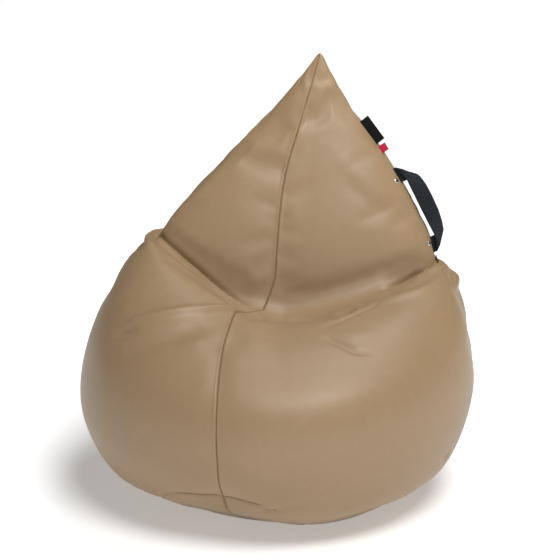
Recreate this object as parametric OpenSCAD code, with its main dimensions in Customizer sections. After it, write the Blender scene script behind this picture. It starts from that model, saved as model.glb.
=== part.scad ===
// Teardrop bean bag chair: four leatherette gores and a two-piece base over a bead-filled liner,
// with a webbing handle, two seam tags and zips in the base and in the liner.
// Millimetres, +Z up, front toward -Y. The origin is on the floor under the middle of the bag.

/* [Bag] */
// Width across the belly
bag_w = 868; // [760:4:980]
// Depth from front to back
bag_d = 872; // [760:4:980]
// Height from the floor to the tip
bag_h = 947; // [880:1:1020]
// How high the front left corner of the base is pulled off the floor
corner_lift = 50; // [0:1:60]
// Thickness of the leatherette
skin_t = 1.2; // [0.8:0.1:2]

/* [Filling] */
// Gap between the cover and the inner liner
liner_gap = 12; // [10:0.5:14]
// Thickness of the liner cloth
liner_t = 1; // [0.6:0.1:1.2]
// Gap between the cover and the packed beads
fill_gap = 18.5; // [17:0.5:22]

/* [Handle] */
// Width of the handle webbing
webbing_w = 36; // [30:1:44]
// Thickness of the handle webbing
webbing_t = 1.6; // [1.2:0.1:2]
// Diameter of a rivet cap
rivet_cap_d = 11; // [9:0.5:14]
// Diameter of a rivet shank
rivet_shank_d = 3; // [2.5:0.1:3.5]

/* [Tags] */
// Length of the long tag along the seam
side_tag_l = 62; // [50:1:64]
// How far the long tag stands out
side_tag_w = 24; // [18:1:28]
// Side of the small square tag
size_tag_w = 18; // [14:1:19]

/* [Zips] */
// Length of the zip in the base
base_zip_l = 400; // [300:10:420]
// Length of the zip in the liner
liner_zip_l = 300; // [200:10:320]
// Width of one zip tape
zip_tape_w = 11; // [9:0.5:13]

/* [Hidden] */
$fn = 48;

// Rings of the bag's surface, from the base rim to the tip, for a bag 868 x 872 x 947.
// Each row: heights of the ring's front, left, right and back, then its reach to the front,
// left, right and back, then the y of its two sides and the x of its front and back.
RINGS = [
    [  8,   8,   8,   8, -270, -255, 262, 285,   0,  5],
    [ 70,  70,  80,  75, -375, -368, 374, 370,   0,  0],
    [205, 200, 245, 190, -435, -433, 430, 425,   0,  0],
    [325, 345, 365, 300, -415, -413, 418, 432,   5,  0],
    [400, 470, 458, 400, -300, -356, 392, 405,  20,  0],
    [424, 553, 502, 470, -160, -298, 358, 385,  45,  0],
    [400, 548, 496, 540,  -45, -270, 352, 355,  70,  5],
    [470, 600, 560, 610,  -22, -232, 335, 318,  90, 30],
    [570, 660, 640, 680,   12, -180, 294, 285, 105, 48],
    [690, 745, 742, 765,   60,  -92, 229, 245, 125, 65],
    [800, 828, 825, 840,  102,   -6, 165, 205, 140, 79],
    [885, 896, 893, 900,  130,   50, 123, 175, 148, 87],
    [934, 936, 936, 936,  146,   80, 102, 158, 152, 92]];
RING_BOX = [868, 872, 947];
TIP = [92, 152, 947];
LAST = len(RINGS) - 1;
// Angle of each seam at each ring, measured from the front toward +X
SEAM_FRONT = [-19, -17, -16, -17, -18, -17, -8, -8, -12, -18, -20, -20, -20];
SEAM_RIGHT = [86, 86, 86, 86, 86, 86, 84, 84, 82, 80, 80, 80, 80];
SEAM_BACK = [161, 161, 161, 161, 160, 160, 160, 160, 160, 160, 160, 160, 160];
SEAM_LEFT = [-100, -99, -98, -98, -98, -98, -97, -97, -97, -97, -97, -97, -97];
// Roundness of the rise from the front of a ring to its sides
RISE = 1.4;
// Middle and half-width of the lifted corner, and its share at the three lowest rings
LIFT_PHI = -22;
LIFT_SPREAD = 26;
LIFT_SHARE = [1, 0.6, 0.1];
LIFT_REACH = 0.2;
// The part of the base that rests on the floor: its reach to the front, left, right and back
REST = [-246, -232, 242, 262];
// Angle of the base seam and its zip, turned from +Y toward +X
ZIP_TURN = 18;
GORE_STEPS = 12;
// How far the gores run from the top ring to the tip, where their last stitches close the rest
TIP_CLOSE = 0.9;
RING_STEP = 0.5;
// Steps in v over which a slope is measured, on the surface and along a seam
SMALL_STEP = 0.05;
SEAM_STEP = 0.2;
// The rim's inner edge above and inside the outer one, in thicknesses of the leatherette
RIM_UP = 1.2;
RIM_IN = 0.9;
SCALE = [bag_w / RING_BOX[0], bag_d / RING_BOX[1], bag_h / RING_BOX[2]];
// Height of the liner's underside, and of the beads' underside
liner_z = 11;
fill_z = 15;
// Where the handle's ends and the tags sit along the right seam, in rings
HANDLE_UPPER = 8.45;
HANDLE_LOWER = 6.67;
SIDE_TAG_AT = 9.4;
SIZE_TAG_AT = 8.99;
// How far the handle's hinge line is outside the cover, and the room left on each side of it
HINGE_OUT = 9;
HINGE_ROOM = 0.8;
CLEAR = 0.3;
// The webbing's ends inside the cover: the neck through the seam, and the riveted flap, which
// lies along the cover from FLAP_BACK behind the seam to FLAP_END past the rivet
NECK_IN = 8;
FLAP_DEPTH = 3.6;
FLAP_BACK = 2;
FLAP_END = 13;
FLAP_STEPS = 4;
// The patch behind each flap: its gap to the webbing, its thickness, how far it runs past the
// webbing, and how far it reaches from the rivet toward the seam
PATCH_GAP = 0.4;
PATCH_T = 1;
PATCH_OVER = 3;
PATCH_BACK = 7;
// The rivets: the backs' thickness, width and gaps, the caps' height above the cover, the height
// of their rim and of their dome, and the length of the holes made for them
RIVET_BACK_T = 1.2;
RIVET_BACK_W = 3;
RIVET_BACK_GAP = 0.4;
RIVET_SLIP = 0.05;
CAP_Z = 0.2;
CAP_RIM = 0.5;
CAP_DOME = 2.4;
RIVET_HOLE_L = 16;
// Distance of a rivet from the seam, and from its end of the handle toward the middle
RIVET_IN = 14;
RIVET_TO_MIDDLE = 8;
TAG_T = 1.2;
TAG_TUCK = 5;
// The care label on the base: its near corner from the zip's middle, its size and its thickness
LABEL_AT = [-90, -120];
LABEL_SIZE = [35, 70];
LABEL_T = 0.4;
// Distance of the liner's zip from the middle of the base
LINER_ZIP_X = 80;

function mix(a, b, t) = a + (b - a) * t;
function turn_to(a) = a - 360 * floor((a + 180) / 360);
function unit(v) = v / norm(v);
function bump(phi) = exp(-pow(turn_to(phi - LIFT_PHI) / LIFT_SPREAD, 2));

// A point of ring k at angle phi
function ring_point(k, phi) =
    let (r = RINGS[k], s = sin(phi), c = cos(phi),
        side_x = s < 0 ? r[5] : r[6],
        side_z = s < 0 ? r[1] : r[2],
        end_y = c > 0 ? r[4] : r[7],
        end_z = c > 0 ? r[0] : r[3],
        lift = k < len(LIFT_SHARE) ? LIFT_SHARE[k] * bump(phi) : 0,
        reach = k == 0 ? 1 + LIFT_REACH * lift * corner_lift / 50 : 1)
    [(r[9] + (side_x - r[9]) * abs(s)) * reach * SCALE[0],
        (r[8] + (end_y - r[8]) * abs(c)) * reach * SCALE[1],
        mix(end_z, side_z, pow(abs(s), RISE)) * SCALE[2] + corner_lift * lift];

// A smooth curve through four points in turn, between the second and the third
function curve(a, b, c, d, t) = 0.5 * (2 * b + (c - a) * t + (2 * a - 5 * b + 4 * c - d) * t * t
    + (3 * b - a - 3 * c + d) * t * t * t);
// The bag's surface at a height v counted in rings, and an angle phi
function bag(v, phi) =
    let (k = min(floor(v), LAST - 1), b = ring_point(k, phi), c = ring_point(k + 1, phi),
        a = k > 0 ? ring_point(k - 1, phi) : 2 * b - c,
        d = k + 2 <= LAST ? ring_point(k + 2, phi) : 2 * c - b)
    curve(a, b, c, d, v - k);
function outward(v, phi) =
    let (low = max(v - SMALL_STEP, 0), high = min(v + SMALL_STEP, LAST))
    unit(cross(bag(v, phi + 1) - bag(v, phi - 1), bag(high, phi) - bag(low, phi)));
function inside(v, phi, depth) = bag(v, phi) - depth * outward(v, phi);
function seam(table, v) = let (k = min(floor(v), LAST - 1)) mix(table[k], table[k + 1], v - k);
// The angles from one seam past a second to a third, with the same number of steps in each gore
function two_gores(tables, wraps, v, steps) = [for (g = [0, 1], j = [g : steps])
    mix(seam(tables[g], v) + wraps[g], seam(tables[g + 1], v) + wraps[g + 1], j / steps)];
LEFT_HALF = [[SEAM_BACK, SEAM_LEFT, SEAM_FRONT], [0, 360, 360]];
RIGHT_HALF = [[SEAM_FRONT, SEAM_RIGHT, SEAM_BACK], [0, 0, 0]];
function tip(depth) = [TIP[0] * SCALE[0], TIP[1] * SCALE[1], bag_h - depth];

// The rim between the base and the gores, and the edge of the flat that rests on the floor
function rim_inside(phi) =
    let (p = ring_point(0, phi), out = unit([p[0], p[1], 0]))
    p + skin_t * ([0, 0, RIM_UP] - RIM_IN * out);
function rest_edge(phi, z) =
    let (s = sin(phi), c = cos(phi))
    [(s < 0 ? REST[1] : REST[2]) * abs(s) * SCALE[0], (c > 0 ? REST[0] : REST[3]) * abs(c) * SCALE[1], z];

// A closed solid between two grids of points with the same rows, the outer one and the inner one
module shell(outer, inner) {
    rows = len(outer);
    cols = len(outer[0]);
    count = rows * cols;
    points = concat([for (row = outer) each row], [for (row = inner) each row]);
    skin = [for (i = [0 : rows - 2], j = [0 : cols - 2]) each
        let (a = i * cols + j, b = a + 1, c = a + cols, d = c + 1)
        [[a, c, d], [a, d, b], [count + a, count + d, count + c], [count + a, count + b, count + d]]];
    sides = [for (i = [0 : rows - 2]) each
        let (a = i * cols, c = a + cols, e = a + cols - 1, f = e + cols)
        [[a, count + c, c], [a, count + a, count + c], [e, f, count + f], [e, count + f, count + e]]];
    ends = [for (j = [0 : cols - 2]) each
        let (a = j, b = j + 1, e = count - cols + j, f = e + 1)
        [[a, b, count + b], [a, count + b, count + a], [e, count + f, f], [e, count + e, count + f]]];
    polyhedron(points, concat(skin, sides, ends), convexity = 12);
}

// One gore of the cover between two seams
module gore(from, to, wrap) {
    vs = [for (v = [0 : RING_STEP : LAST]) v];
    function phi(v, j) = mix(seam(from, v), seam(to, v) + wrap, j / GORE_STEPS);
    outer = [for (v = vs) [for (j = [0 : GORE_STEPS]) bag(v, phi(v, j))]];
    inner = [for (v = vs) [for (j = [0 : GORE_STEPS])
        v == 0 ? rim_inside(phi(v, j)) : inside(v, phi(v, j), skin_t)]];
    top = [[for (j = [0 : GORE_STEPS]) mix(bag(LAST, phi(LAST, j)), tip(0), TIP_CLOSE)]];
    top_in = [[for (j = [0 : GORE_STEPS])
        mix(bag(LAST, phi(LAST, j)), tip(2 * skin_t), TIP_CLOSE) - [0, 0, skin_t]]];
    shell(concat(outer, top), concat(inner, top_in));
}

// Frames on the cover: x along the seam downward, y outward, z toward the front
module on_seam(v, table) {
    phi = seam(table, v);
    p = bag(v, phi);
    along = unit(bag(v - SEAM_STEP, seam(table, v - SEAM_STEP))
        - bag(v + SEAM_STEP, seam(table, v + SEAM_STEP)));
    side = unit(cross(along, outward(v, phi)));
    out = cross(side, along);
    multmatrix([[along[0], out[0], side[0], p[0]], [along[1], out[1], side[1], p[1]],
        [along[2], out[2], side[2], p[2]], [0, 0, 0, 1]]) children();
}
function handle_end_point(v) = bag(v, seam(SEAM_RIGHT, v));
function handle_along() = unit(handle_end_point(HANDLE_LOWER) - handle_end_point(HANDLE_UPPER));
function handle_out() =
    let (mid = (HANDLE_UPPER + HANDLE_LOWER) / 2,
        n = outward(mid, seam(SEAM_RIGHT, mid)),
        t = handle_along())
    unit(n - (n * t) * t);
function handle_span() = norm(handle_end_point(HANDLE_LOWER) - handle_end_point(HANDLE_UPPER));
// Frame of the handle: x from its upper end to its lower end, y outward, z toward the front
module on_handle(at) {
    t = handle_along();
    o = handle_out();
    s = cross(t, o);
    multmatrix([[t[0], o[0], s[0], at[0]], [t[1], o[1], s[1], at[1]],
        [t[2], o[2], s[2], at[2]], [0, 0, 0, 1]]) children();
}
// Lengths in mm on the cover at the right seam, for one ring up it and for one degree off it
function seam_rise(v) =
    norm(handle_end_point(v + SEAM_STEP) - handle_end_point(v - SEAM_STEP)) / (2 * SEAM_STEP);
function seam_side(v) = let (phi = seam(SEAM_RIGHT, v)) norm(bag(v, phi) - bag(v, phi - 1));
// Frame on the front right gore where the rivet of the handle's end at v goes
module on_rivet(v) {
    at = v + (v > HANDLE_LOWER ? -1 : 1) * RIVET_TO_MIDDLE / seam_rise(v);
    phi = seam(SEAM_RIGHT, at) - RIVET_IN / seam_side(at);
    p = bag(at, phi);
    n = outward(at, phi);
    s = unit(bag(at, phi - 1) - p);
    side = unit(s - (s * n) * n);
    along = cross(n, side);
    multmatrix([[along[0], n[0], side[0], p[0]], [along[1], n[1], side[1], p[1]],
        [along[2], n[2], side[2], p[2]], [0, 0, 0, 1]]) children();
}
module both_ends() {
    for (v = [HANDLE_UPPER, HANDLE_LOWER]) on_rivet(v) children();
}
module block(x0, x1, y0, y1, z0, z1) {
    translate([x0, y0, z0]) cube([x1 - x0, y1 - y0, z1 - z0]);
}

// The slots in the right seam that the handle's ends and the tags pass through
module neck(v, extra) {
    on_handle(handle_end_point(v))
        block(-webbing_w / 2 - extra, webbing_w / 2 + extra, -NECK_IN - extra,
            HINGE_OUT - HINGE_ROOM + extra, -webbing_t / 2 - extra, webbing_t / 2 + extra);
}
module tag(v, length, width, extra) {
    on_seam(v, SEAM_RIGHT)
        block(-length / 2 - extra, length / 2 + extra, -TAG_TUCK - extra, width + extra,
            -TAG_T / 2 - extra, TAG_T / 2 + extra);
}
module seam_slots() {
    neck(HANDLE_UPPER, CLEAR);
    neck(HANDLE_LOWER, CLEAR);
    tag(SIDE_TAG_AT, side_tag_l, side_tag_w, CLEAR);
    tag(SIZE_TAG_AT, size_tag_w, size_tag_w, CLEAR);
}
module rivet_holes() {
    both_ends() rotate([90, 0, 0])
        cylinder(h = RIVET_HOLE_L, d = rivet_shank_d + 2 * CLEAR, center = true);
}

module panel_front_left() {
    color("#a68a6c") gore(SEAM_LEFT, SEAM_FRONT, 0);
}
module panel_front_right() {
    color("#b1957a") difference() {
        gore(SEAM_FRONT, SEAM_RIGHT, 0);
        seam_slots();
        rivet_holes();
    }
}
module panel_back_right() {
    color("#a08466") difference() {
        gore(SEAM_RIGHT, SEAM_BACK, 0);
        seam_slots();
    }
}
module panel_back_left() {
    color("#967a5e") gore(SEAM_BACK, SEAM_LEFT, 360);
}

// Zips lie along y in their own frame; heights are above the floor
module along_zip(x = 0) {
    rotate([0, 0, -ZIP_TURN]) translate([x, 0, 0]) children();
}
base_tape_z = 5.2;
tape_t = 0.6;
// The opening in the base: its width, how far it runs past the zip, and the hem beside it
slot_w = 13;
slot_past = 12;
hem_t = 1.2;
base_slot_l = base_zip_l + 2 * slot_past;

// One half of the base: the flat that rests on the floor, the slope up to the rim, and the hem
// that stands beside the zip
module base_half(half, side) {
    phis = two_gores(half[0], half[1], 0, GORE_STEPS);
    flat = [for (phi = phis) let (p = rest_edge(phi, 0)) [p[0], p[1]]];
    union() {
        difference() {
            linear_extrude(skin_t) polygon(flat);
            along_zip() block(-slot_w / 2, slot_w / 2, -base_slot_l / 2, base_slot_l / 2, -1, 3);
        }
        shell([[for (phi = phis) rest_edge(phi, 0)], [for (phi = phis) ring_point(0, phi)]],
            [[for (phi = phis) rest_edge(phi, skin_t)], [for (phi = phis) rim_inside(phi)]]);
        along_zip() scale([side, 1, 1])
            block(slot_w / 2, slot_w / 2 + hem_t, -base_slot_l / 2, base_slot_l / 2, 0, base_tape_z);
    }
}
module base_panel_left() {
    color("#8d7258") base_half(LEFT_HALF, -1);
}
module base_panel_right() {
    color("#8d7258") base_half(RIGHT_HALF, 1);
}

// Parts of a zip, for a tape whose underside is at tape_z; side is -1 for left and 1 for right.
// The coil runs from coil_in to coil_out, and hangs coil_drop below the tape's underside. Its
// ends stop short of the tape's by base_coil_short or liner_coil_short in all.
coil_in = 1.1;
coil_out = 3;
coil_h = 2.4;
coil_drop = 0.9;
base_coil_short = 20;
liner_coil_short = 10;
module zip_tape(length, tape_z, side) {
    scale([side, 1, 1])
        block(coil_out, coil_out + zip_tape_w, -length / 2, length / 2, tape_z, tape_z + tape_t);
}
module zip_coil(length, tape_z, side) {
    scale([side, 1, 1]) block(coil_in, coil_out, -length / 2, length / 2,
        tape_z - coil_drop, tape_z - coil_drop + coil_h);
}
// The slider: two plates with rounded corners, below and above the tape, a post between them,
// and flanges along their edges that leave room for the tape
slider_l = 14;
slider_w = 9.6;
slider_corner = 2;
plate_t = 1;
plate_below = 3;
plate_above = 2.2;
post_half = 0.8;
post_inset = [1, 4];
flange_w = 0.8;
flange_room = 0.4;
// Distance of each slider's middle from the end of its zip
base_slider_at = 17;
liner_slider_at = 16;
module slider_flange(z0, z1) {
    reach = slider_l / 2 - slider_corner;
    block(slider_w / 2 - flange_w, slider_w / 2, -reach, reach, z0, z1);
}
module zip_slider(tape_z, at_y) {
    low = tape_z - plate_below;
    high = tape_z + plate_above;
    low_mid = low + plate_t / 2;
    high_mid = high + plate_t / 2;
    translate([0, at_y, 0]) {
        for (z = [low, high]) translate([0, 0, z]) linear_extrude(plate_t)
            offset(slider_corner) offset(-slider_corner) square([slider_w, slider_l], center = true);
        block(-post_half, post_half, -slider_l / 2 + post_inset[0], slider_l / 2 - post_inset[1],
            low_mid, high_mid);
        for (side = [-1, 1]) scale([side, 1, 1]) {
            slider_flange(low_mid, tape_z - flange_room);
            slider_flange(tape_z + tape_t + flange_room, high_mid);
        }
    }
}
module base_zip_tape_left() {
    color("#3b342e") along_zip() zip_tape(base_zip_l, base_tape_z, -1);
}
module base_zip_tape_right() {
    color("#3b342e") along_zip() zip_tape(base_zip_l, base_tape_z, 1);
}
module base_zip_coil_left() {
    color("#2b2622") along_zip() zip_coil(base_zip_l - base_coil_short, base_tape_z, -1);
}
module base_zip_coil_right() {
    color("#2b2622") along_zip() zip_coil(base_zip_l - base_coil_short, base_tape_z, 1);
}
// Each stop is a small block across both coils' ends, just under the tapes
stop_at = 6;
stop_half = [coil_out + 0.5, 3];
stop_z = [base_tape_z - 1.5, base_tape_z - 0.05];
module base_zip_stops() {
    color("silver") along_zip() for (end = [-1, 1])
        translate([0, end * (base_zip_l / 2 - stop_at), 0])
            block(-stop_half[0], stop_half[0], -stop_half[1], stop_half[1], stop_z[0], stop_z[1]);
}
module base_zip_slider() {
    color("silver") along_zip() zip_slider(base_tape_z, base_zip_l / 2 - base_slider_at);
}

// The liner: two halves of thin cloth, flat underneath. Its rings follow the cover's as far as
// LINER_TOP, and then close toward a point below the tip.
LINER_TOP = 11;
LINER_RINGS = [for (v = [0.5, each [1 : LINER_TOP]]) v];
LINER_STEPS = 8;
// Size of the flat underside as a share of the base's own flat, and the small hole at its middle
LINER_FLAT = 0.98;
LINER_EASE = 0.004;
LINER_HOLE = 0.02;
LINER_TIP_DEPTH = 30;
LINER_CLOSE = 0.8;
// The zip's opening: half its width, and how far it runs past the tape's ends
LINER_SLOT = 6;
LINER_SLOT_END = 4;
module liner_half(half) {
    function phis(v) = two_gores(half[0], half[1], v, LINER_STEPS);
    function flat(share, z) = [for (phi = phis(0)) rest_edge(phi, 0) * share + [0, 0, z]];
    function skin(d) = concat(
        [flat(LINER_HOLE, liner_z + d), flat(LINER_FLAT - d * LINER_EASE, liner_z + d)],
        [for (v = LINER_RINGS) [for (phi = phis(v)) inside(v, phi, liner_gap + d)]],
        [[for (phi = phis(LINER_TOP))
            mix(inside(LINER_TOP, phi, liner_gap + d), tip(LINER_TIP_DEPTH + 2 * d), LINER_CLOSE)]]);
    shell(skin(0), skin(liner_t));
}
module liner_left() {
    color("#e8e4dc") liner_half(LEFT_HALF);
}
module liner_right() {
    color("#e8e4dc") difference() {
        liner_half(RIGHT_HALF);
        along_zip(LINER_ZIP_X)
            block(-LINER_SLOT, LINER_SLOT, -liner_zip_l / 2 - LINER_SLOT_END,
                liner_zip_l / 2 + LINER_SLOT_END, liner_z - 1, liner_z + 3);
    }
}
liner_tape_z = liner_z - tape_t;
module liner_zip_tape_left() {
    color("white") along_zip(LINER_ZIP_X) zip_tape(liner_zip_l, liner_tape_z, -1);
}
module liner_zip_tape_right() {
    color("white") along_zip(LINER_ZIP_X) zip_tape(liner_zip_l, liner_tape_z, 1);
}
module liner_zip_coil_left() {
    color("white") along_zip(LINER_ZIP_X) zip_coil(liner_zip_l - liner_coil_short, liner_tape_z, -1);
}
module liner_zip_coil_right() {
    color("white") along_zip(LINER_ZIP_X) zip_coil(liner_zip_l - liner_coil_short, liner_tape_z, 1);
}
module liner_zip_slider() {
    color("silver") along_zip(LINER_ZIP_X) zip_slider(liner_tape_z, liner_zip_l / 2 - liner_slider_at);
}

// The packed beads, as one body that fills the liner with room all round
FILL_FLAT = 0.95;
FILL_TIP_DEPTH = 45;
module bead_fill() {
    cols = 4 * LINER_STEPS;
    function phis(v) = let (right = two_gores(RIGHT_HALF[0], RIGHT_HALF[1], v, LINER_STEPS),
            left = two_gores(LEFT_HALF[0], LEFT_HALF[1], v, LINER_STEPS))
        concat([for (j = [0 : cols / 2 - 1]) right[j]], [for (j = [0 : cols / 2 - 1]) left[j]]);
    rings = concat([[for (phi = phis(0)) rest_edge(phi, 0) * FILL_FLAT + [0, 0, fill_z]]],
        [for (v = LINER_RINGS) [for (phi = phis(v)) inside(v, phi, fill_gap)]]);
    count = len(rings) * cols;
    points = concat([for (row = rings) each row], [[0, 0, fill_z], tip(FILL_TIP_DEPTH)]);
    walls = [for (i = [0 : len(rings) - 2], j = [0 : cols - 1]) each
        let (next = (j + 1) % cols, a = i * cols + j, b = i * cols + next, c = a + cols, d = b + cols)
        [[a, c, d], [a, d, b]]];
    floor_fan = [for (j = [0 : cols - 1]) [j, (j + 1) % cols, count]];
    top_fan = [for (j = [0 : cols - 1]) let (a = count - cols) [a + j, count + 1, a + (j + 1) % cols]];
    color("white") polyhedron(points, concat(walls, floor_fan, top_fan), convexity = 12);
}

// The handle: a flat band folded over at both ends, beside the right seam
module handle_strap() {
    span = handle_span();
    half = webbing_w / 2;
    foot = HINGE_OUT + HINGE_ROOM;
    outline = [[-half, foot], [-half + 10, 24], [half, 38], [half + 26, 49], [half + 52, 51],
        [span / 2 + 24, 48], [span - half - 6, 40], [span + half - 8, 22], [span + half, foot],
        [span - half, foot], [span - half - 4, 18], [half + 4, 17], [half, foot]];
    color("#22262b") on_handle(handle_end_point(HANDLE_UPPER))
        linear_extrude(webbing_t, center = true) polygon(outline);
}
// A strip behind the cover at a depth, from one distance in front of the seam to another
module strip_behind(v, depth, thick, from, to, width) {
    function place(i, j, d) = inside(v + mix(-width, width, i / FLAP_STEPS) / 2 / seam_rise(v),
        seam(SEAM_RIGHT, v) - mix(to, from, j / FLAP_STEPS) / seam_side(v), d);
    function face(d) = [for (i = [0 : FLAP_STEPS]) [for (j = [0 : FLAP_STEPS]) place(i, j, d)]];
    shell(face(depth), face(depth + thick));
}
module handle_end(v) {
    color("#22262b") difference() {
        union() {
            neck(v, 0);
            strip_behind(v, FLAP_DEPTH, webbing_t, -FLAP_BACK, RIVET_IN + FLAP_END, webbing_w);
        }
        rivet_holes();
    }
}
module handle_end_upper() {
    handle_end(HANDLE_UPPER);
}
module handle_end_lower() {
    handle_end(HANDLE_LOWER);
}
module handle_backing_patches() {
    color("#8d7258") difference() {
        for (v = [HANDLE_UPPER, HANDLE_LOWER])
            strip_behind(v, FLAP_DEPTH + webbing_t + PATCH_GAP, PATCH_T, RIVET_IN - PATCH_BACK,
                RIVET_IN + FLAP_END + PATCH_OVER, webbing_w + 2 * PATCH_OVER);
        rivet_holes();
    }
}
rivet_end = FLAP_DEPTH + webbing_t + PATCH_GAP + PATCH_T + RIVET_BACK_GAP + RIVET_BACK_T;
module handle_rivet_caps() {
    cap_r = rivet_cap_d / 2;
    shank_r = rivet_shank_d / 2;
    dome = [for (a = [0 : 10 : 90]) [cap_r * cos(a), CAP_Z + CAP_RIM + CAP_DOME * sin(a)]];
    color("silver") both_ends() rotate([-90, 0, 0])
        rotate_extrude() polygon(concat([[0, -rivet_end], [shank_r, -rivet_end], [shank_r, CAP_Z],
            [cap_r, CAP_Z]], dome));
}
module handle_rivet_backs() {
    color("silver") both_ends() translate([0, -rivet_end, 0]) rotate([-90, 0, 0])
        rotate_extrude() translate([rivet_shank_d / 2 + RIVET_SLIP, 0])
            square([RIVET_BACK_W, RIVET_BACK_T]);
}

module side_tag() {
    color("#161616") tag(SIDE_TAG_AT, side_tag_l, side_tag_w, 0);
}
module size_tag() {
    color("#d8304a") tag(SIZE_TAG_AT, size_tag_w, size_tag_w, 0);
}
module care_label() {
    color("white") along_zip() block(LABEL_AT[0], LABEL_AT[0] + LABEL_SIZE[0],
        LABEL_AT[1], LABEL_AT[1] + LABEL_SIZE[1], skin_t, skin_t + LABEL_T);
}

panel_front_left();
panel_front_right();
panel_back_right();
panel_back_left();
base_panel_left();
base_panel_right();
base_zip_tape_left();
base_zip_tape_right();
base_zip_coil_left();
base_zip_coil_right();
base_zip_stops();
base_zip_slider();
liner_left();
liner_right();
liner_zip_tape_left();
liner_zip_tape_right();
liner_zip_coil_left();
liner_zip_coil_right();
liner_zip_slider();
bead_fill();
handle_strap();
handle_end_upper();
handle_end_lower();
handle_backing_patches();
handle_rivet_caps();
handle_rivet_backs();
side_tag();
size_tag();
care_label();
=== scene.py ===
"""Teardrop bean bag chair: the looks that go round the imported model. Metres, +Z up, front toward -Y."""
import math

import bpy
import numpy as np
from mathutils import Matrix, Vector
from mathutils.bvhtree import BVHTree


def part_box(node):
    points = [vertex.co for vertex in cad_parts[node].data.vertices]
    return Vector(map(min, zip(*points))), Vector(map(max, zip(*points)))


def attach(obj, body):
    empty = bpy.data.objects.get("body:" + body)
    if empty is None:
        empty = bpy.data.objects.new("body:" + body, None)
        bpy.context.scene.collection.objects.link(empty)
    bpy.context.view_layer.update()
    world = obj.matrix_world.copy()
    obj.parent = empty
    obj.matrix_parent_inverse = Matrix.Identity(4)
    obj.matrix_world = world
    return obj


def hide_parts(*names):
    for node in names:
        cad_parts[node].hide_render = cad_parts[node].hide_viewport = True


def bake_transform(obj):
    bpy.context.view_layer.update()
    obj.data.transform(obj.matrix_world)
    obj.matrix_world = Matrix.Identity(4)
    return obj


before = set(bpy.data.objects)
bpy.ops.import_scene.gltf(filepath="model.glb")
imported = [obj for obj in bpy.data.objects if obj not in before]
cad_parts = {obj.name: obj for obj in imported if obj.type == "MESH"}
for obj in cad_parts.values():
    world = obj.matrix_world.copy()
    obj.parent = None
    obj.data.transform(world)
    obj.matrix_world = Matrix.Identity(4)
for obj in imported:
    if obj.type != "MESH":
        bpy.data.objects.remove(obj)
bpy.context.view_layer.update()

MM = 0.001

# ------------------------------------------------------------------ the bag's surface, as in the CAD
# Rings from the base rim to the tip. Each row, in mm: heights of the ring's front, left, right and
# back, its reach to the front, left, right and back, the y of its two sides, the x of its ends.
RINGS = MM * np.array([
    [8, 8, 8, 8, -270, -255, 262, 285, 0, 5],
    [70, 70, 80, 75, -375, -368, 374, 370, 0, 0],
    [205, 200, 245, 190, -435, -433, 430, 425, 0, 0],
    [325, 345, 365, 300, -415, -413, 418, 432, 5, 0],
    [400, 470, 458, 400, -300, -356, 392, 405, 20, 0],
    [424, 553, 502, 470, -160, -298, 358, 385, 45, 0],
    [400, 548, 496, 540, -45, -270, 352, 355, 70, 5],
    [470, 600, 560, 610, -22, -232, 335, 318, 90, 30],
    [570, 660, 640, 680, 12, -180, 294, 285, 105, 48],
    [690, 745, 742, 765, 60, -92, 229, 245, 125, 65],
    [800, 828, 825, 840, 102, -6, 165, 205, 140, 79],
    [885, 896, 893, 900, 130, 50, 123, 175, 148, 87],
    [934, 936, 936, 936, 146, 80, 102, 158, 152, 92]])
TIP = MM * np.array([92, 152, 947])
LAST = len(RINGS) - 1
TOP = LAST + 1                       # the tip itself, one step above the last ring
RISE = 1.4
LIFT, LIFT_PHI, LIFT_SPREAD, LIFT_REACH = 50 * MM, -22, 26, 0.2
LIFT_SHARE = (1, 0.6, 0.1)
REST = MM * np.array([-246, -232, 242, 262])   # flat underneath: reach front, left, right, back
DRAWN_BACK, DRAWN_PHI, DRAWN_SPREAD = 0.125, -18, 38   # of that reach, under the lifted corner
RIM_UP, RIM_LEFT, RIM_RIGHT = 1.25, (-66, -30), (-6, 13)   # the base seam's rise at that corner
RIM_SUNK, RIM_WIDE = 2.8 * MM, 2.0 * MM
ZIP_TURN = math.radians(18)
SKIN = 1.2 * MM
# Angle of each seam at each ring, from the front toward +X
SEAMS = {
    "front": [-19, -17, -16, -17, -18, -17, -8, -8, -12, -18, -20, -20, -20],
    "right": [86] * 6 + [84, 84, 82, 80, 80, 80, 80],
    "back": [161] * 4 + [160] * 9,
    "left": [-100, -99, -98, -98, -98, -98] + [-97] * 7}


def ring_point(k, phi):
    """A point of ring k at each angle phi, in degrees."""
    front_z, left_z, right_z, back_z, front_y, left_x, right_x, back_y, side_y, end_x = RINGS[k]
    s, c = np.sin(np.radians(phi)), np.cos(np.radians(phi))
    side_x, side_z = np.where(s < 0, left_x, right_x), np.where(s < 0, left_z, right_z)
    end_y, end_z = np.where(c > 0, front_y, back_y), np.where(c > 0, front_z, back_z)
    turn = (phi - LIFT_PHI + 180) % 360 - 180
    lift = LIFT_SHARE[k] * np.exp(-(turn / LIFT_SPREAD) ** 2) if k < len(LIFT_SHARE) else 0 * s
    reach = 1 + LIFT_REACH * lift if k == 0 else 1
    return np.stack([(end_x + (side_x - end_x) * abs(s)) * reach,
                     (side_y + (end_y - side_y) * abs(c)) * reach,
                     end_z + (side_z - end_z) * abs(s) ** RISE + LIFT * lift], -1)


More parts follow.
